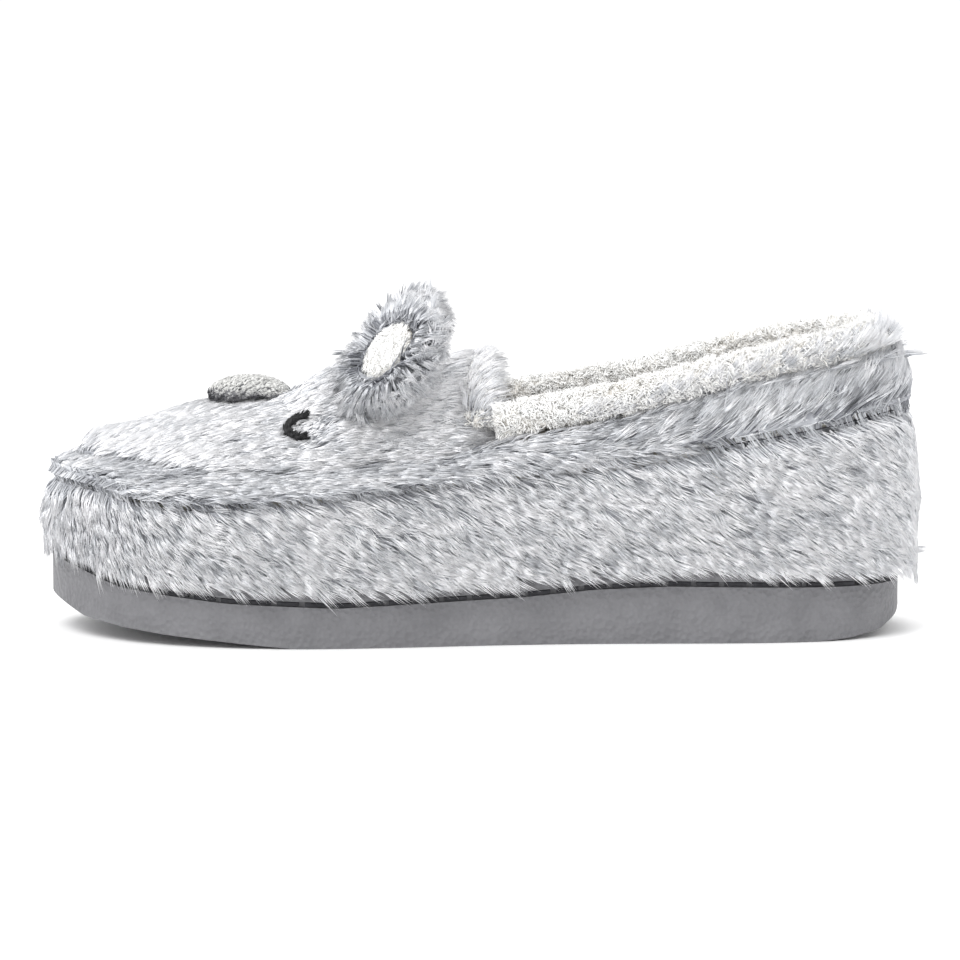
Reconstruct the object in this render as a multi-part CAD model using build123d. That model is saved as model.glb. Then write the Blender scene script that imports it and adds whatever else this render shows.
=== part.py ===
from build123d import *
import os

# Plush house slipper for the left foot. Millimetres, toe towards -X, big toe side +Y, Z up.

# Plan outline of the outsole, anticlockwise from the heel tip.
SOLE_OUTLINE = [
    (123, 0), (112, 25), (85, 33.5), (48, 32.5), (10, 34.5), (-28, 41.5), (-62, 45),
    (-95, 39), (-117, 25), (-127, 4), (-118, -19), (-98, -36), (-70, -44.5), (-38, -44.5),
    (2, -38.5), (46, -35), (85, -33.5), (112, -25),
]

# Side profiles, as (x, z).
GROUND_LINE = [(-140, 17), (-127, 11), (-116, 6.3), (-104, 4.6), (-92, 3.4), (-74, 1.9), (-53, 0),
               (97, 0), (107, 0.8), (116, 2.4), (124, 7)]
GROOVE_LINE = [(-140, 25), (-127, 23), (-119, 21.4), (-105, 17), (-91, 15.6), (-74, 13.9), (-41, 12.5),
               (12, 14.7), (32, 16.6), (54, 17.5), (95, 16.8), (140, 16.2)]
WALL_SEAM = [(-140, 46.5), (-111, 45.5), (-96, 42), (-76, 41.5), (-36, 45.4), (0, 49.4),
             (41, 53), (75, 58.7), (98, 62.5), (115, 66), (140, 68)]
TOP_SEAM = [(-140, 52.5), (-110, 51), (-90, 50), (-53, 50.7), (-27, 53), (-9, 55), (10, 60.4),
            (32, 64), (47, 67), (76, 74.4), (100, 79), (118, 81.6), (140, 82.4)]

# How far the outer surface stands beyond the outsole, as (x, growth), at three heights.
HEM_GROWTH = [(-140, 2.0), (-110, 2.6), (-80, 4.2), (100, 4.4), (140, 5.6)]
WALL_GROWTH = [(-140, 0.0), (-122, 0.5), (-95, 3.8), (-50, 5.2), (0, 4.8), (60, 4.4), (140, 3.0)]
TOP_GROWTH = [(-140, -6.5), (-122, -6.0), (-95, -4.6), (-50, -3.6), (-15, -2.4), (10, 0.6),
              (40, 0.8), (76, -1.4), (140, -4.2)]

LIP_HEIGHT = 4.0
SOLE_THICK = 6.0
LIP_WIDTH = 5.0
GROOVE_DEPTH = 1.4
GROOVE_HALF = 0.8
TUCK = 5.9
LAYER_GAP = 0.3
FOOT_GAP = 2.2
SHELF_GAP = 0.9
THREAD_RADIUS = 0.2
SEAM_GAP = 0.6
BOARD_THICK = 2.0
FOAM_THICK = 5.0
SOCK_THICK = 3.0
FLOOR_INSET = 9.7

# Layers of the upper, as depths below the outer surface of the pile.
FUR = (0.0, 4.5)
PADDING = (4.8, 6.2)
LINING = (6.5, 9.5)
PLUG_PADDING = (5.5, 6.5)
PLUG_LINING = (7.0, 9.7)
BAND_RISE = 1.5
ROLL_RADIUS = 4.1

SIDE_SEAM_X = 68.0
STATION_STEPS = 34

# Face panel over the forefoot: (x, centre height, half width, forehead height).
DOME = [
    (-120.5, 52.8, 8, 0), (-117, 55.2, 14, 0), (-109, 58, 22, 0), (-92, 63.5, 33, 0), (-75, 66.8, 39.5, 0),
    (-60, 68.4, 41, 0.6), (-50, 70.5, 41, 3.0), (-42, 72.2, 40.5, 4.9), (-30, 74, 39, 4.6),
    (-16, 76, 37, 3.0), (-6, 77.5, 35, 1.4),
]
DOME_SHIFT = [(-130, 3.2), (-60, 0.0), (0, 0.0)]

STITCH_COUNT = 72
STITCH_SIZE = (6.4, 1.0, 1.0)

EAR_RADIUS = 14.2
EAR_CENTRE = 13.0
EAR_THICK = 7.4
EAR_ROOT_RADIUS = 3.2
EAR_BASE = (-34.6, -24.0, 73.9)
EAR_NORMAL = (-0.68, -0.46, 0.57)
EAR_AXIS = (0.171, -0.857, -0.487)
FLEECE_RADIUS = 9.3

# Moves the finished assembly so that the origin is under the middle of its bounding box.
ORIGIN_SHIFT = (0.55, 0.25, 0.0)

NOSE_CENTRE = (-68.5, 0.0, 68.6)
NOSE_AXES = (12.0, 9.0, 5.6)
NOSE_SKIN = 1.3


def height(line, x):
    for (x0, z0), (x1, z1) in zip(line, line[1:]):
        if x <= x1:
            return z0 + (z1 - z0) * (x - x0) / (x1 - x0)
    return line[-1][1]


EDGE = Spline(*SOLE_OUTLINE, periodic=True)


def station(u):
    """Outline point and outward normal at a share of the way round."""
    p = EDGE.position_at(u % 1.0)
    t = EDGE.tangent_at(u % 1.0)
    return p.X, p.Y, t.Y, -t.X


def share_at(x, medial):
    """Share of the way round where the outline crosses an x on one side."""
    low, high = (0.0, 0.5) if medial else (0.5, 1.0)
    for _ in range(40):
        mid = (low + high) / 2
        ahead = station(mid)[0] > x
        if ahead == medial:
            low = mid
        else:
            high = mid
    return (low + high) / 2


def lip(x):
    return height(GROOVE_LINE, x) + LIP_HEIGHT


def floor(x):
    return height(GROUND_LINE, x) + SOLE_THICK


def sweep_round(u0, u1, section, steps=STATION_STEPS):
    """Solid through upright sections standing on the outline between two shares."""
    wires = []
    for i in range(steps + 1):
        x, y, nx, ny = station(u0 + (u1 - u0) * i / steps)
        points = [(x + nx * g, y + ny * g, z) for g, z in section(x)]
        wires.append(Wire(Polyline(*points, close=True)))
    return Solid.make_loft(wires)


def wall_section(layer):
    """Side wall: tucked into the cup, out over the lip and up to the moccasin seam."""
    near, far = layer

    def section(x):
        base = lip(x) + SHELF_GAP + near * 0.35
        over = lip(x) + SHELF_GAP + far * 0.35
        seam = height(WALL_SEAM, x) - SEAM_GAP
        hem = height(HEM_GROWTH, x)
        top = height(WALL_GROWTH, x)
        belly = (hem + top) / 2 + 1.2
        tuck_out = -TUCK - near * 0.35
        tuck_in = -TUCK - far * 0.35 + 0.1
        mid = (base + seam) / 2
        foot = floor(x) + FOOT_GAP
        return [
            (tuck_out, foot), (tuck_out, base), (hem - near, base), (belly - near, mid), (top - near, seam),
            (top - far, seam), (belly - far, mid), (hem - far, over), (tuck_in, over), (tuck_in, foot),
        ]

    return section


def band_section(layer, rise):
    """Band between the moccasin seam and the top seam."""
    near, far = layer

    def section(x):
        low = height(WALL_SEAM, x) + SEAM_GAP
        high = height(TOP_SEAM, x) - SEAM_GAP
        g0 = height(WALL_GROWTH, x)
        g1 = height(TOP_GROWTH, x)
        gm = (g0 + g1) / 2 + 1.4 + rise
        mid = (low + high) / 2
        outer = [(g0 - near, low), (gm - near, mid), (g1 - near, high)]
        if rise > 0:
            outer.insert(1, (g0 - near + rise, low + 1.6))
        return outer + [(g1 - far, high), (gm - far - rise, mid), (g0 - far, low)]

    return section


def dome_height(x, y, depth=0.0, bump=True):
    """Height of the face panel's arch at a plan point, some depth below the outer surface."""
    tops = [(row[0], row[1] + (row[3] if bump else 0)) for row in DOME]
    halves = [(row[0], row[2]) for row in DOME]
    edge = height(TOP_SEAM, x) + LAYER_GAP
    top = max(height(tops, x) - depth, edge + 0.3)
    v = (y - height(DOME_SHIFT, x)) / (height(halves, x) - depth)
    return edge + (top - edge) * (1 - v * v)


def arch(x, half, depth, bump):
    shift = height(DOME_SHIFT, x)
    points = []
    for v in (-1, -0.5, 0, 0.5, 1):
        y = shift + half * v
        points.append((x, y, dome_height(x, y, depth, bump)))
    return points


def arched_ring(x, half_outer, depth_outer, bump_outer, half_inner, depth_inner, bump_inner):
    outer = arch(x, half_outer, depth_outer, bump_outer)
    inner = arch(x, half_inner, depth_inner, bump_inner)
    inner.reverse()
    edges = [Spline(*outer), Line(outer[-1], inner[0]), Spline(*inner), Line(inner[-1], outer[0])]
    return Wire(edges)


def dome_panel(layer, bump, start=-130.0):
    """Arched panel between the band's two sides, some depth below the outer surface."""
    near, far = layer
    wires = []
    for x, _, half, _ in DOME:
        if x > start:
            wires.append(arched_ring(x, half - near, near, bump, half - far, far, bump))
    return Solid.make_loft(wires)


def below(line, lift=0.0, bottom=-60.0):
    """Everything under a side profile line, right across the slipper."""
    points = [(x, 0, z + lift) for x, z in line]
    points.append((points[-1][0], 0, bottom))
    points.append((points[0][0], 0, bottom))
    face = Face(Wire(Polyline(*points, close=True)))
    return extrude(face, 80, dir=(0, 1, 0), both=True)


def plan(grow):
    """Plan outline grown by a distance, from the ground to well above the lip."""
    points = []
    for i in range(36):
        x, y, nx, ny = station(i / 36)
        points.append((x + nx * grow, y + ny * grow, -10))
    face = Face(Wire(Spline(*points, periodic=True)))
    return extrude(face, 60, dir=(0, 0, 1))


def layer_between(grow, low_lift, high_lift):
    """Floor layer that follows the toe spring."""
    return (plan(grow) & below(GROUND_LINE, high_lift)) - below(GROUND_LINE, low_lift)


def outsole():
    body = (plan(0) & below(GROOVE_LINE, LIP_HEIGHT)) - below(GROUND_LINE)
    body = body - (plan(-LIP_WIDTH) - below(GROUND_LINE, SOLE_THICK))
    groove = (plan(3) - plan(-GROOVE_DEPTH)) & below(GROOVE_LINE, GROOVE_HALF)
    body = body - (groove - below(GROOVE_LINE, -GROOVE_HALF))
    for x in (-44, -34, -24, -14, -4, 60, 69, 78, 87):
        half = 29 if x < 0 else 22
        bar = extrude(SlotOverall(2 * half, 3.6, rotation=90), 1.2, both=True)
        body = body - Pos(x, 0, 0) * bar
    return body


def stitches():
    """Short top stitches lying in the groove of the side wall."""
    found = []
    for i in range(STITCH_COUNT):
        x, y, nx, ny = station((i + 0.5) / STITCH_COUNT)
        x0, y0, _, _ = station((i + 0.3) / STITCH_COUNT)
        x1, y1, _, _ = station((i + 0.7) / STITCH_COUNT)
        slope = (height(GROOVE_LINE, x1) - height(GROOVE_LINE, x0)) / (abs(x1 - x0) + abs(y1 - y0))
        along = Vector(-ny, nx, slope)
        g = -GROOVE_DEPTH + 0.15 + STITCH_SIZE[1] / 2
        spot = (x + nx * g, y + ny * g, height(GROOVE_LINE, x))
        place = Plane(origin=spot, x_dir=along, z_dir=Vector(nx, ny, 0).cross(along) * -1)
        found.append(place * Box(*STITCH_SIZE))
    return Compound(found)


def tube(points, radius):
    path = Spline(*points)
    place = Plane(origin=path @ 0, z_dir=path % 0)
    return sweep(place * Circle(radius), path=path)


def collar_roll():
    """Shearling turned over the topline, from one throat corner round the heel to the other."""
    start = share_at(6, False) - 1
    end = share_at(6, True)
    points = []
    for i in range(17):
        x, y, nx, ny = station(start + (end - start) * i / 16)
        g = height(TOP_GROWTH, x) - 4.9
        points.append((x + nx * g, y + ny * g, height(TOP_SEAM, x) + ROLL_RADIUS + 0.3))
    return tube(points, ROLL_RADIUS)


def throat_roll():
    """Shearling turned over the edge of the face panel, between the throat corners."""
    points = []
    for y in (-29, -20, -10, 0, 10, 20, 29):
        points.append((-1.1 + 0.002 * y * y, y, 75.0 - 0.0155 * y * y))
    return tube(points, ROLL_RADIUS)


def seam_thread(line, growth, u0, u1, inset, steps=STATION_STEPS):
    """Sewing thread that runs inside a seam gap."""
    points = []
    for i in range(steps + 1):
        x, y, nx, ny = station(u0 + (u1 - u0) * i / steps)
        g = height(growth, x) - inset
        points.append((x + nx * g, y + ny * g, height(line, x)))
    return tube(points, THREAD_RADIUS)


def ear_plane():
    return Plane(origin=EAR_BASE, x_dir=EAR_AXIS, z_dir=EAR_NORMAL)


def ear_parts():
    """Fur back with a round pocket, wadding in the pocket, fleece disc closing it."""
    place = ear_plane()
    disc = Pos(0, EAR_CENTRE, 0) * Cylinder(EAR_RADIUS, EAR_THICK)
    disc = fillet(disc.edges().filter_by(GeomType.CIRCLE), 3.2)
    disc = disc - Pos(0, -13, 0) * Box(60, 26, 30)
    root = Rot(0, 90, 0) * Cylinder(EAR_ROOT_RADIUS, 15)
    pocket = Pos(0, EAR_CENTRE, 3.2) * Cylinder(FLEECE_RADIUS, 9)
    fur = (disc + root) - pocket
    wadding = Pos(0, EAR_CENTRE, 0.1) * Cylinder(FLEECE_RADIUS - 0.3, 2.4)
    dome = Pos(0, EAR_CENTRE, 1.6) * scale(Sphere(1), by=(FLEECE_RADIUS - 0.3, FLEECE_RADIUS - 0.3, 3.0))
    fleece = dome - Pos(0, EAR_CENTRE, -8.4) * Box(40, 40, 20)
    return [place * piece for piece in (fur, wadding, fleece)]


def nose_parts():
    """Velvet cover with stuffing under it, both resting just above the face panel."""
    whole = Pos(*NOSE_CENTRE) * scale(Sphere(1), by=NOSE_AXES)
    core_axes = tuple(a - NOSE_SKIN for a in NOSE_AXES)
    core = Pos(*NOSE_CENTRE) * scale(Sphere(1), by=core_axes)
    keep = Pos(NOSE_CENTRE[0], 0, NOSE_CENTRE[2] + 9.9) * Rot(0, -11, 0) * Box(60, 60, 20)
    return [(whole - core) & keep, core & keep]


def eye():
    """Embroidered arc of a closed eye on the near side of the face."""
    points = []
    for x, y in ((-50.5, -26.5), (-54.5, -26.8), (-56.3, -29.2), (-54.8, -31.8), (-50.8, -33.2)):
        points.append((x, y, dome_height(x, y) + 1.3))
    path = Spline(*points)
    place = Plane(origin=path @ 0, z_dir=path % 0)
    return sweep(place * Circle(0.9), path=path)


def forehead_pad():
    """Wadding under the face panel that lifts the forehead."""
    wires = []
    for x in (-47, -42, -36, -30, -23, -17):
        wires.append(arched_ring(x, 15, FUR[1] + 0.7, True, 15, PLUG_PADDING[0] - 0.7, False))
    return Solid.make_loft(wires)


def build_all():
    medial_seam = share_at(SIDE_SEAM_X, True)
    lateral_seam = share_at(SIDE_SEAM_X, False)
    gap = 0.0008
    front = (medial_seam + gap, lateral_seam - gap)
    back = (lateral_seam + gap - 1, medial_seam - gap)
    nodes = {
        "outsole": outsole(),
        "outsole_stitching": stitches(),
        "insole_board": layer_between(-FLOOR_INSET, SOLE_THICK + 0.3, SOLE_THICK + BOARD_THICK),
        "footbed_foam": layer_between(-FLOOR_INSET, 8.1, 8.1 + FOAM_THICK),
        "sock_lining": layer_between(-FLOOR_INSET, 13.2, 13.2 + SOCK_THICK),
        "vamp_wall": sweep_round(*front, wall_section(FUR)),
        "heel_panel": sweep_round(*back, wall_section(FUR)),
        "apron_band": sweep_round(*front, band_section(FUR, BAND_RISE)),
        "collar_band": sweep_round(*back, band_section(FUR, BAND_RISE)),
        "wall_padding": sweep_round(*front, wall_section(PADDING)),
        "heel_counter": sweep_round(*back, wall_section(PADDING)),
        "apron_padding": sweep_round(*front, band_section(PADDING, 0)),
        "collar_foam": sweep_round(*back, band_section(PADDING, 0)),
        "vamp_lining": sweep_round(*front, wall_section(LINING)),
        "heel_lining": sweep_round(*back, wall_section(LINING)),
        "apron_lining": sweep_round(*front, band_section(LINING, 0)),
        "collar_lining": sweep_round(*back, band_section(LINING, 0)),
        "collar_roll": collar_roll(),
        "throat_roll": throat_roll(),
        "face_plug": dome_panel(FUR, True),
        "forehead_pad": forehead_pad(),
        "plug_padding": dome_panel(PLUG_PADDING, False, -100),
        "plug_lining": dome_panel(PLUG_LINING, False, -95),
        "wall_seam_thread": seam_thread(WALL_SEAM, WALL_GROWTH, *front, 1.6),
        "collar_seam_thread": seam_thread(WALL_SEAM, WALL_GROWTH, *back, 1.6),
    }
    cover, stuffing = nose_parts()
    nodes["nose_cover"] = cover
    nodes["nose_stuffing"] = stuffing
    fur, wadding, fleece = ear_parts()
    outer_eye = eye()
    for side, turn in (("left", False), ("right", True)):
        for name, piece in (("fur", fur), ("wadding", wadding), ("fleece", fleece)):
            nodes[f"ear_{side}_{name}"] = mirror(piece, Plane.XZ) if turn else piece
        nodes[f"eye_{side}"] = mirror(outer_eye, Plane.XZ) if turn else outer_eye
    return nodes


def main():
    os.makedirs("parts", exist_ok=True)
    for name, piece in build_all().items():
        export_step(Pos(*ORIGIN_SHIFT) * piece, f"parts/{name}.step")


if __name__ == "__main__":
    main()
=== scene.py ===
import math
import bpy
import numpy as np
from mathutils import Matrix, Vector, noise
from mathutils.bvhtree import BVHTree
from mathutils.kdtree import KDTree


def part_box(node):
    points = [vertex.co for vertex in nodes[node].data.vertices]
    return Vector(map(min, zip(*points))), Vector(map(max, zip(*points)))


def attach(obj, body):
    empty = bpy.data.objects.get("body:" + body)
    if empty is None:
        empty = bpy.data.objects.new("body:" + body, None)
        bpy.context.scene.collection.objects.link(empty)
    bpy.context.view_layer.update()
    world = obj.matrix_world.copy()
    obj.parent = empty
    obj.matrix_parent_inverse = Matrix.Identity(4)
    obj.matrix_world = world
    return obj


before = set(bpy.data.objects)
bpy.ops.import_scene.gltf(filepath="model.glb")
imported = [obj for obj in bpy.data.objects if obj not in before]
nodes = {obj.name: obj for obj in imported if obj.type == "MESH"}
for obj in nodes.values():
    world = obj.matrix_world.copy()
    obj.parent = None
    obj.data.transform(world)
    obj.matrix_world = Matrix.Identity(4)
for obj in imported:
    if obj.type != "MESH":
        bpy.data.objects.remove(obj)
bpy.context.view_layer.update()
rng = np.random.default_rng(7)


def linear(rgb):
    """sRGB 0-255 to a linear colour with alpha."""
    out = []
    for c in rgb:
        c = c / 255
        out.append(c / 12.92 if c <= 0.04045 else ((c + 0.055) / 1.055) ** 2.4)
    return tuple(out) + (1.0,)


def plain(name, rgb, rough, sheen):
    """One tone of a pile. Its pattern comes from the tone chosen for each part of each fibre."""
    mat = bpy.data.materials.new(name)
    mat.use_nodes = True
    shader = mat.node_tree.nodes["Principled BSDF"]
    shader.inputs["Base Color"].default_value = linear(rgb)
    shader.inputs["Roughness"].default_value = rough
    shader.inputs["Specular IOR Level"].default_value = 0.25
    shader.inputs["Sheen Weight"].default_value = sheen
    return mat


def patterned(name, low, high, scale, rough=0.85, bump=0.3, fine=None, distance=0.0004, kind="noise"):
    """Principled material whose colour and bump come from noise in object coordinates."""
    mat = bpy.data.materials.new(name)
    mat.use_nodes = True
    tree = mat.node_tree
    shader = tree.nodes["Principled BSDF"]
    coords = tree.nodes.new("ShaderNodeTexCoord")
    tex = tree.nodes.new("ShaderNodeTexNoise")
    tex.inputs["Scale"].default_value = scale
    tex.inputs["Detail"].default_value = 6
    ramp = tree.nodes.new("ShaderNodeValToRGB")
    ramp.color_ramp.elements[0].position = 0.3
    ramp.color_ramp.elements[0].color = linear(low)
    ramp.color_ramp.elements[1].position = 0.7
    ramp.color_ramp.elements[1].color = linear(high)
    if kind == "pebble":
        grain = tree.nodes.new("ShaderNodeTexVoronoi")
        height = grain.outputs["Distance"]
    else:
        grain = tree.nodes.new("ShaderNodeTexNoise")
        height = grain.outputs["Fac"]
    grain.inputs["Scale"].default_value = fine or scale * 4
    bumper = tree.nodes.new("ShaderNodeBump")
    bumper.inputs["Strength"].default_value = bump
    bumper.inputs["Distance"].default_value = distance
    link = tree.links.new
    link(coords.outputs["Object"], tex.inputs["Vector"])
    link(coords.outputs["Object"], grain.inputs["Vector"])
    link(tex.outputs["Fac"], ramp.inputs["Fac"])
    link(ramp.outputs["Color"], shader.inputs["Base Color"])
    link(height, bumper.inputs["Height"])
    link(bumper.outputs["Normal"], shader.inputs["Normal"])
    shader.inputs["Roughness"].default_value = rough
    return mat


GREY_TONES = [
    (84, 86, 92), (128, 130, 136), (172, 174, 179), (206, 208, 212), (230, 231, 234), (246, 246, 248),
]
WHITE_TONES = [
    (228, 225, 219), (238, 236, 231), (242, 240, 236), (250, 249, 247), (252, 252, 251), (255, 255, 254),
]
grey = [plain(f"fur_grey_{i}", c, 0.85, 0.15) for i, c in enumerate(GREY_TONES)]
white = [plain(f"fleece_white_{i}", c, 0.9, 0.1) for i, c in enumerate(WHITE_TONES)]
NOSE_TONES = [
    (58, 58, 63), (92, 92, 96), (140, 140, 143), (184, 184, 184), (212, 212, 210), (228, 228, 226),
]
velvet = [plain(f"velvet_{i}", c, 0.9, 0.2) for i, c in enumerate(NOSE_TONES)]

pelt = patterned("pelt", (120, 122, 128), (182, 184, 189), 160, bump=0.4)
fleece = patterned("fleece_ground", (226, 222, 215), (246, 244, 241), 220, bump=0.8, fine=700)
rubber = patterned("sole_rubber", (104, 104, 107), (118, 118, 121), 90, rough=0.55, bump=0.9, fine=620,
                   distance=0.0006, kind="pebble")
board_mat = patterned("fibre_board", (120, 96, 70), (146, 120, 90), 90)
foam_mat = patterned("foam", (222, 216, 200), (238, 234, 222), 300, fine=1400)
dark_thread = patterned("sole_thread", (34, 34, 38), (58, 58, 62), 500, fine=2600, bump=0.8)
black_thread = patterned("eye_thread", (10, 10, 12), (30, 30, 33), 700, fine=3000, rough=0.5, bump=0.9)
velvet_base = patterned("velvet_base", (70, 70, 74), (150, 150, 152), 120, fine=1500)

FUR_NODES = ["vamp_wall", "heel_panel", "apron_band", "collar_band", "face_plug"]
LINING_NODES = ["vamp_lining", "heel_lining", "apron_lining", "collar_lining", "plug_lining", "collar_roll",
                "throat_roll", "sock_lining"]
FOAM_NODES = ["footbed_foam", "wall_padding", "apron_padding", "collar_foam", "plug_padding", "forehead_pad",
              "nose_stuffing", "ear_left_wadding", "ear_right_wadding"]


def paint(names, mat):
    for name in names:
        mesh = nodes[name].data
        mesh.materials.clear()
        mesh.materials.append(mat)
        for face in mesh.polygons:
            face.material_index = 0


paint(FUR_NODES + ["ear_left_fur", "ear_right_fur"], pelt)
paint(LINING_NODES + ["ear_left_fleece", "ear_right_fleece"], fleece)
paint(FOAM_NODES, foam_mat)
paint(["insole_board"], board_mat)
paint(["heel_counter"], pelt)
paint(["outsole"], rubber)
paint(["outsole_stitching", "wall_seam_thread", "collar_seam_thread"], dark_thread)
paint(["eye_left", "eye_right"], black_thread)
paint(["nose_cover"], velvet_base)


def surface(name):
    """World corners and triangles of a CAD node at rest."""
    obj = nodes[name]
    mesh = obj.data
    mesh.calc_loop_triangles()
    co = np.empty(len(mesh.vertices) * 3)
    mesh.vertices.foreach_get("co", co)
    co = co.reshape(-1, 3)
    mat = np.array(obj.matrix_world)
    co = co @ mat[:3, :3].T + mat[:3, 3]
    tri = np.empty(len(mesh.loop_triangles) * 3, dtype=np.int64)
    mesh.loop_triangles.foreach_get("vertices", tri)
    tri = tri.reshape(-1, 3)
    return co, tri


def joined(names):
    """The triangles of several CAD nodes as one list of corners and one of triangles."""
    corners = []
    triangles = []
    start = 0
    for name in names:
        co, tri = surface(name)
        corners.append(co)
        triangles.append(tri + start)
        start += len(co)
    return np.concatenate(corners), np.concatenate(triangles)


whole_corners, whole_triangles = joined(nodes)
everything = BVHTree.FromPolygons(whole_corners.tolist(), whole_triangles.tolist())


RAY_START = 0.00015


def scatter(names, count, reach, keep=None):
    """Random points on the faces of some nodes that have nothing in front of them within a reach."""
    co, tri = joined(names)
    a = co[tri[:, 0]]
    b = co[tri[:, 1]]
    c = co[tri[:, 2]]
    cross = np.cross(b - a, c - a)
    area = np.linalg.norm(cross, axis=1)
    normal = cross / np.maximum(area, 1e-15)[:, None]
    pick = rng.choice(len(tri), size=count, p=area / area.sum())
    r1 = np.sqrt(rng.random(len(pick)))
    r2 = rng.random(len(pick))
    points = a[pick] * (1 - r1)[:, None] + b[pick] * (r1 * (1 - r2))[:, None] + c[pick] * (r1 * r2)[:, None]
    normals = normal[pick]
    good = np.zeros(len(pick), dtype=bool)
    for i in range(len(pick)):
        start = points[i] + normals[i] * RAY_START
        hit = everything.ray_cast(Vector(start), Vector(normals[i]), reach)
        good[i] = hit[0] is None
    if keep is not None:
        good &= keep(points, normals)
    return points[good], normals[good]


def unit(v):
    return v / np.maximum(np.linalg.norm(v, axis=1), 1e-9)[:, None]


def comb(normals, wish):
    """The wished direction laid into each point's tangent plane."""
    flat = wish - normals * (wish * normals).sum(1)[:, None]
    return unit(flat)


def smooth_noise(points, scale):
    return np.array([noise.noise(Vector((p[0] * scale, p[1] * scale, p[2] * scale))) for p in points])


# One fibre: a root ring and a middle ring of three corners each, and a tip.
FIBRE_CORNERS = 7
FIBRE_FACES = np.array([
    [0, 1, 4], [0, 4, 3], [1, 2, 5], [1, 5, 4], [2, 0, 3], [2, 3, 5], [3, 4, 6], [4, 5, 6], [5, 3, 6],
])
LOW_FACES = 6
TIP_FACES = 3
FIBRES_PER_PIECE = 21000
FIBRES_PER_LOCK = 11
LOCK_REACH = 3 * 0.003
# Shares of a pile's own measures, as (least, most), and spreads of angles and tones.
LOCK_LENGTHS = (0.75, 1.2)
FIBRE_LENGTHS = (0.8, 1.15)
FIBRE_LIFTS = (0.3, 1.3)
FIBRE_WIDTHS = (0.7, 1.25)
FIBRE_TURN = 0.12
FIBRE_TONES = 0.4
LEAST_LEAN = 0.25
BOW = 0.34
RING_WIDTHS = (1.0, 0.85)
RING_ANGLES = (0.0, 2.0944, 4.18879)
# Locks differ in tone at random and in streaks, and a fibre is darker at its root.
LOCK_TONES = 0.75
STREAK_TONES = 1.8
STREAK_SCALE = 130
STREAK_SHAPE = np.array([0.55, 1, 1.5])
LOCK_SHARE = 0.85
ROOT_SHADE = 1.1


def grow(label, body, points, normals, flow, pile, tones, bright, clump=0.6, jitter=0.25, curl=0.0):
    """Tapered three-sided fibres, gathered into locks, as meshes of less than 200,000 triangles each."""
    length, lift, sink, width = pile
    count = len(points)
    locks = max(count // FIBRES_PER_LOCK, 1)
    centres = rng.choice(count, size=locks, replace=False)
    tree = KDTree(locks)
    for i, c in enumerate(centres):
        tree.insert(Vector(points[c]), i)
    tree.balance()
    own = np.array([tree.find(Vector(p))[1] for p in points])
    lock_turn = rng.normal(0, jitter, locks)
    lock_long = rng.uniform(*LOCK_LENGTHS, locks)
    lock_light = rng.normal(0, LOCK_TONES, locks)
    lock_light = lock_light + STREAK_TONES * smooth_noise(points[centres] * STREAK_SHAPE, STREAK_SCALE)
    side = np.cross(normals, flow)
    turn = lock_turn[own] + rng.normal(0, FIBRE_TURN, count)
    way = flow * np.cos(turn)[:, None] + side * np.sin(turn)[:, None]
    long = length * lock_long[own] * rng.uniform(*FIBRE_LENGTHS, count)
    root = points - normals * sink
    up = sink + lift * rng.uniform(*FIBRE_LIFTS, count)
    along = np.sqrt(np.maximum(long ** 2 - up ** 2, (LEAST_LEAN * long) ** 2))
    tip = root + normals * up[:, None] + way * along[:, None]
    lead = tip[centres][own]
    gap = np.linalg.norm(points - points[centres][own], axis=1)
    pull = clump * np.clip(1 - gap / LOCK_REACH, 0, 1)
    tip = tip * (1 - pull)[:, None] + lead * pull[:, None]
    curls = rng.normal(0, curl, count)
    mid = root * 0.5 + tip * 0.5 + normals * (up * BOW)[:, None] + side * curls[:, None]
    across = unit(np.cross(unit(tip - root), normals))
    over = unit(np.cross(across, unit(tip - root)))
    radius = width * rng.uniform(*FIBRE_WIDTHS, count)
    rings = []
    for at, share in zip((root, mid), RING_WIDTHS):
        for angle in RING_ANGLES:
            sideways = across * (radius * share * math.cos(angle))[:, None]
            upwards = over * (radius * share * math.sin(angle))[:, None]
            rings.append(at + sideways + upwards)
    verts = np.stack(rings + [tip], axis=1).reshape(-1, 3)
    shade = bright + LOCK_SHARE * lock_light[own] + rng.normal(0, FIBRE_TONES, count)
    tip_tone = np.clip(np.round(shade), 0, len(tones) - 1).astype(int)
    low_tone = np.clip(np.round(shade - ROOT_SHADE), 0, len(tones) - 1).astype(int)
    for part, first in enumerate(range(0, count, FIBRES_PER_PIECE)):
        last = min(first + FIBRES_PER_PIECE, count)
        low = np.repeat(low_tone[first:last, None], LOW_FACES, 1)
        high = np.repeat(tip_tone[first:last, None], TIP_FACES, 1)
        corners = verts[first * FIBRE_CORNERS:last * FIBRE_CORNERS]
        fibres(f"{label}_{part}", body, corners, np.concatenate([low, high], 1).ravel(), tones)


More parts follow.
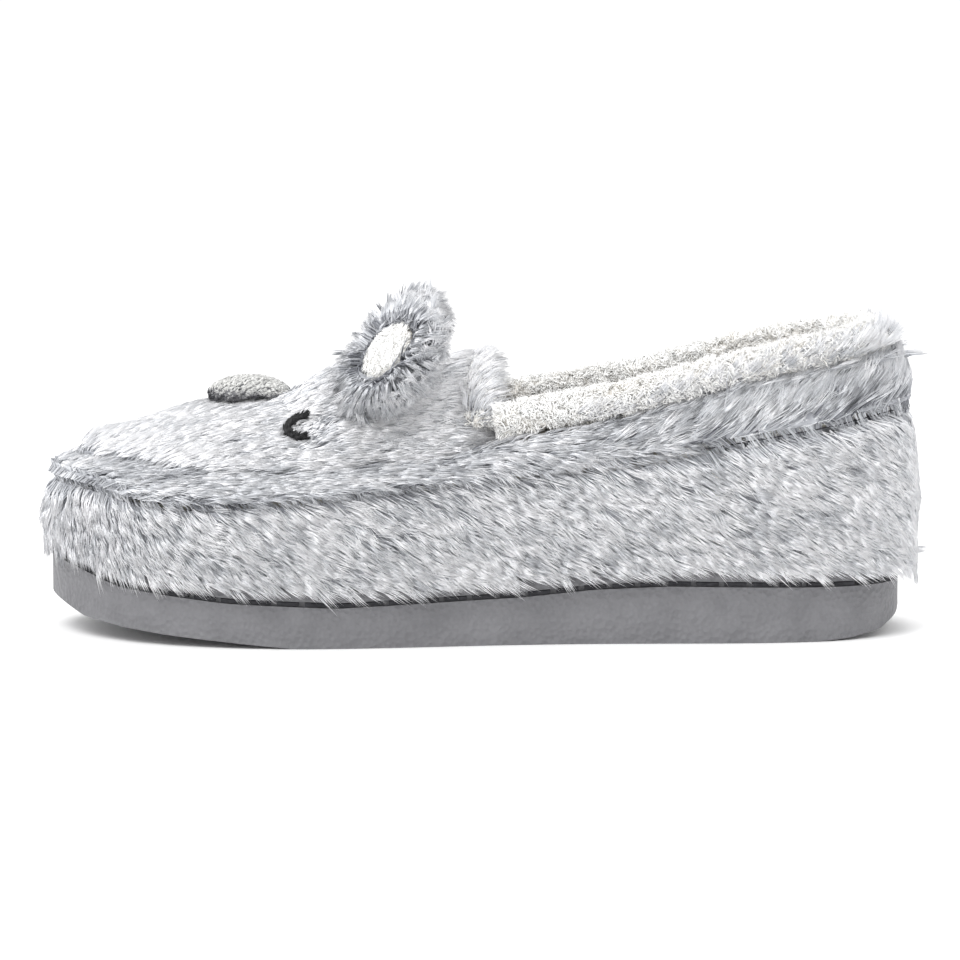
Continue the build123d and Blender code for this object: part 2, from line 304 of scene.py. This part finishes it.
def fibres(name, body, corners, tone_index, tones):
    """One mesh piece of fibres that rides on a body."""
    count = len(corners) // FIBRE_CORNERS
    first_corner = np.arange(count) * FIBRE_CORNERS
    faces = (FIBRE_FACES[None] + first_corner[:, None, None]).reshape(-1, 3)
    mesh = bpy.data.meshes.new(name)
    mesh.vertices.add(len(corners))
    mesh.vertices.foreach_set("co", corners.ravel())
    mesh.loops.add(len(faces) * 3)
    mesh.loops.foreach_set("vertex_index", faces.ravel().astype(np.int32))
    mesh.polygons.add(len(faces))
    mesh.polygons.foreach_set("loop_start", np.arange(0, len(faces) * 3, 3, dtype=np.int32))
    for mat in tones:
        mesh.materials.append(mat)
    mesh.polygons.foreach_set("material_index", tone_index.astype(np.int32))
    mesh.polygons.foreach_set("use_smooth", np.ones(len(faces), dtype=bool))
    mesh.update(calc_edges=True)
    obj = bpy.data.objects.new(name, mesh)
    bpy.context.scene.collection.objects.link(obj)
    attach(obj, body)


def shrink(name, voxel, depth, lumps, size):
    """Rounds a CAD piece, draws its skin in by a depth under the pile and gives it soft lumps."""
    obj = nodes[name]
    remesh = obj.modifiers.new("round", "REMESH")
    remesh.mode = "VOXEL"
    remesh.voxel_size = voxel
    remesh.use_smooth_shade = True
    if depth:
        inset = obj.modifiers.new("inset", "DISPLACE")
        inset.strength = -depth
        inset.mid_level = 0.0
    tex = bpy.data.textures.new(name + "_lumps", "CLOUDS")
    tex.noise_scale = size
    tex.noise_depth = 2
    bumps = obj.modifiers.new("lumps", "DISPLACE")
    bumps.texture = tex
    bumps.texture_coords = "LOCAL"
    bumps.strength = lumps
    bumps.mid_level = 0.5


# Each skin: (nodes, voxel, depth it is drawn in, height of the lumps, size of the lumps).
SKINS = [
    (FUR_NODES, 0.0014, 0.0015, 0.0012, 0.006),
    (["collar_roll", "throat_roll"], 0.0009, 0.0002, 0.0028, 0.0042),
    (["ear_left_fleece", "ear_right_fleece"], 0.0006, 0.0, 0.0012, 0.0025),
    (["ear_left_fur", "ear_right_fur"], 0.0008, 0.0010, 0.0008, 0.004),
    (["nose_cover"], 0.0006, 0.0, 0.0006, 0.003),
]
for names, voxel, depth, lumps, size in SKINS:
    for name in names:
        shrink(name, voxel, depth, lumps, size)

# Fibres tried in each region of a full render. A quick one tries a share of them.
FIBRES = {"wall": 150000, "band": 80000, "face": 80000, "ear": 16000, "ear_fleece": 9000, "throat": 9000,
          "collar": 34000, "roll": 60000, "inside": 60000, "nose": 15000, "eye": 1500}
DENSITY = 1.0

# Each pile: (fibre length, lift above the CAD surface, depth of the root below it, fibre radius).
WALL_PILE = (0.0088, 0.0006, 0.0022, 0.00017)
EAR_PILE = (0.0085, 0.0012, 0.0014, 0.00021)
EAR_FLEECE_PILE = (0.0034, 0.0010, 0.0006, 0.00018)
THROAT_PILE = (0.0085, 0.0012, 0.0012, 0.00018)
COLLAR_PILE = (0.0085, 0.0010, 0.0012, 0.00018)
ROLL_PILE = (0.0046, 0.0020, 0.0008, 0.00022)
INSIDE_PILE = (0.0045, 0.0014, 0.0008, 0.00034)
VELVET_PILE = (0.0019, 0.0006, 0.0005, 0.00012)
SATIN_PILE = (0.0018, 0.0003, 0.0002, 0.00013)

# Places in the face, as (x, y), and half the sizes of the patches round them: no pile under the
# nose, short flat pile round each eye.
NOSE_AT = (-0.069, 0.0)
NOSE_PATCH = (0.0105, 0.0075)
EYE_AT = (-0.0525, 0.0295)
EYE_PATCH = 0.006


def many(region):
    return int(FIBRES[region] * DENSITY)


def rising(values, start, width):
    """0 up to a start, rising to 1 over a width."""
    return np.clip((values - start) / width, 0, 1)


def same(direction, points):
    return np.tile(np.array(direction), (len(points), 1))


def side_wall():
    """Pile combed back and down, more steeply and fanned to both sides at the toe."""
    points, normals = scatter(["vamp_wall", "heel_panel"], many("wall"), 0.02,
                              lambda p, n: (n[:, 2] > -0.75) & (p[:, 2] > 0.012))
    wish = same([0.86, 0.0, -0.52], points)
    toe = rising(-points[:, 0], 0.085, 0.03)
    wish[:, 2] -= toe * 0.7
    wish[:, 1] += toe * points[:, 1] * 6
    flow = comb(normals, wish)
    grow("fur_wall", "slipper", points, normals, flow, WALL_PILE, grey, 4.6, clump=0.35, jitter=0.18)


def band():
    """Pile combed back and down at the front, back and up along the collar. Its lower half hangs
    over the seam and its upper half stands up beside the shearling."""
    points, normals = scatter(["apron_band", "collar_band"], many("band"), 0.02, lambda p, n: n[:, 2] > -0.8)
    wish = same([0.84, 0.0, -0.5], points)
    collar = rising(points[:, 0], 0.005, 0.03)
    rear = rising(points[:, 0], 0.045, 0.03)
    wish[:, 2] += collar * 0.8 + rear * np.clip(normals[:, 2] * 3, 0, 1) * 1.1
    wish[:, 2] -= np.clip(-normals[:, 2] * 2, 0, 1) * (0.8 + rear)
    pile = (0.0100 + 0.0025 * rear, 0.0010, 0.0022, 0.00017)
    grow("fur_band", "slipper", points, normals, comb(normals, wish), pile, grey, 3.5, clump=0.4, jitter=0.2)


def face():
    """Pile that lies back towards the ankle, absent under the nose and short round the eyes."""
    points, normals = scatter(["face_plug"], many("face"), 0.0022, lambda p, n: n[:, 2] > 0.1)
    wish = same([0.97, 0.0, 0.2], points)
    wish[:, 1] += points[:, 1] * 5
    nose_x = (points[:, 0] - NOSE_AT[0]) / NOSE_PATCH[0]
    nose_y = (points[:, 1] - NOSE_AT[1]) / NOSE_PATCH[1]
    keep = nose_x ** 2 + nose_y ** 2 > 1
    points = points[keep]
    normals = normals[keep]
    wish = wish[keep]
    eye_x = (points[:, 0] - EYE_AT[0]) / EYE_PATCH
    eye_y = (np.abs(points[:, 1]) - EYE_AT[1]) / EYE_PATCH
    near_eye = eye_x ** 2 + eye_y ** 2 < 1
    length = np.where(near_eye, 0.0036, 0.0098 + 0.004 * rising(points[:, 0], -0.018, 0.01))
    lift = np.where(near_eye, 0.0001, 0.0009)
    pile = (length, lift, 0.0022, 0.00017)
    flow = comb(normals, wish)
    grow("fur_face", "slipper", points, normals, flow, pile, grey, 4.7, clump=0.35, jitter=0.18)


def ear(side):
    """Fur that spreads from the fleece, with painted shade beside it, and the fleece's own short pile."""
    body = f"ear_{side}"
    low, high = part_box(f"ear_{side}_fleece")
    centre = (np.array(low) + np.array(high)) / 2
    points, normals = scatter([f"ear_{side}_fur"], many("ear"), 0.0012)
    wish = points - centre + np.array([0.002, 0, -0.001])
    # Painted shade: the fur is darker near the fleece, where the rim between them is in shade.
    bright = 2.0 + 2.4 * rising(np.linalg.norm(points - centre, axis=1), 0.009, 0.006)
    grow(f"fur_ear_{side}", body, points, normals, comb(normals, wish), EAR_PILE, grey, bright)
    points, normals = scatter([f"ear_{side}_fleece"], many("ear_fleece"), 0.002)
    wish = rng.normal(0, 1, (len(points), 3))
    flow = comb(normals, wish)
    grow(f"fleece_ear_{side}", body, points, normals, flow, EAR_FLEECE_PILE, white, 4.2, jitter=2.0)


def outer_collar(p, n):
    """The outward, lower side of the rolled edge, reaching higher towards the heel."""
    low = n[:, 2] < -0.35 + (p[:, 0] - 0.03) / 0.08
    outward = n[:, 1] * p[:, 1] + n[:, 0] * (p[:, 0] - 0.09) > 0
    return low & outward & (p[:, 0] > 0.025)


def throat_and_collar():
    """Grey pile that reaches over the front of the throat and the outside of the collar."""
    points, normals = scatter(["throat_roll"], many("throat"), 0.0015, lambda p, n: n[:, 0] < 0.15)
    wish = same([0.9, 0.0, 0.4], points)
    grow("fur_throat", "slipper", points, normals, comb(normals, wish), THROAT_PILE, grey, 4.5, clump=0.4)
    points, normals = scatter(["collar_roll"], many("collar"), 0.0015, outer_collar)
    wish = same([0.8, 0.0, 0.75], points)
    grow("fur_collar", "slipper", points, normals, comb(normals, wish), COLLAR_PILE, grey, 4.6, clump=0.4)


def shearling(label, names, region, reach, pile, bright):
    """Curly white pile that points every way."""
    points, normals = scatter(names, many(region), reach)
    wish = rng.normal(0, 1, (len(points), 3))
    flow = comb(normals, wish)
    grow(label, "slipper", points, normals, flow, pile, white, bright, jitter=2.5, curl=0.0006)


def nose():
    """Short velvet pile, dark round the base and pale on top from painted light."""
    points, normals = scatter(["nose_cover"], many("nose"), 0.001, lambda p, n: n[:, 2] > -0.3)
    # Painted light: the pile is paler where it faces up and darker where it faces sideways or down.
    bright = 1.2 + 3.8 * rising(normals[:, 2], -0.1, 0.7)
    flow = comb(normals, same([0.6, 0.0, 0.1], points))
    grow("nose_pile", "slipper", points, normals, flow, VELVET_PILE, velvet, bright, jitter=0.5)


def eye(side):
    """Satin stitches laid across the arc."""
    points, normals = scatter([f"eye_{side}"], many("eye"), 0.0006)
    flow = comb(normals, same([0.5, 0.6, 0.2], points))
    grow(f"eye_stitch_{side}", "slipper", points, normals, flow, SATIN_PILE, [black_thread], 0, jitter=0.2)


side_wall()
band()
face()
ear("left")
ear("right")
throat_and_collar()
shearling("shearling_roll", ["collar_roll", "throat_roll"], "roll", 0.004, ROLL_PILE, 3.8)
shearling("shearling_inside", ["collar_lining", "heel_lining", "apron_lining", "vamp_lining", "sock_lining",
                               "plug_lining"], "inside", 0.02, INSIDE_PILE, 3.0)
nose()
eye("left")
eye("right")

# Floor, light and camera.
FLOOR_HALF = 6.0
WORLD_LIGHT = 1.06
CAMERA_LENS = 178
CAMERA_SENSOR = 36
CAMERA_REACH = 50
CAMERA_LIFT = math.radians(7)
CAMERA_DISTANCE = 1.4
CAMERA_TARGET = Vector((0, 0, 0.0434))
LIGHT_TARGET = Vector((0, 0, 0.04))


def studio_floor():
    mesh = bpy.data.meshes.new("floor")
    half = FLOOR_HALF
    corners = [(-half, -half, 0), (half, -half, 0), (half, half, 0), (-half, half, 0)]
    mesh.from_pydata(corners, [], [(0, 1, 2, 3)])
    floor = bpy.data.objects.new("floor", mesh)
    bpy.context.scene.collection.objects.link(floor)
    paper = patterned("floor_paper", (250, 250, 250), (254, 254, 254), 20, rough=0.95, bump=0.02)
    mesh.materials.append(paper)


def studio_world():
    world = bpy.data.worlds.new("studio")
    bpy.context.scene.world = world
    world.use_nodes = True
    background = world.node_tree.nodes["Background"]
    background.inputs[0].default_value = (1, 1, 1, 1)
    background.inputs[1].default_value = WORLD_LIGHT


def area(name, at, size, power):
    light = bpy.data.lights.new(name, "AREA")
    light.energy = power
    light.size = size
    obj = bpy.data.objects.new(name, light)
    obj.location = at
    obj.rotation_euler = (LIGHT_TARGET - Vector(at)).to_track_quat("-Z", "Y").to_euler()
    bpy.context.scene.collection.objects.link(obj)


def camera():
    cam = bpy.data.cameras.new("camera")
    cam.lens = CAMERA_LENS
    cam.sensor_width = CAMERA_SENSOR
    cam.clip_end = CAMERA_REACH
    obj = bpy.data.objects.new("camera", cam)
    back = Vector((0, -math.cos(CAMERA_LIFT), math.sin(CAMERA_LIFT)))
    obj.location = CAMERA_TARGET + back * CAMERA_DISTANCE
    obj.rotation_euler = (CAMERA_TARGET - obj.location).to_track_quat("-Z", "Y").to_euler()
    bpy.context.scene.collection.objects.link(obj)
    return obj


studio_floor()
studio_world()
area("key", (-0.5, -0.7, 1.1), 0.8, 11)
area("top", (0.3, 0.3, 1.3), 1.0, 8)
bpy.context.scene.camera = camera()
bpy.context.scene.view_settings.view_transform = "Standard"
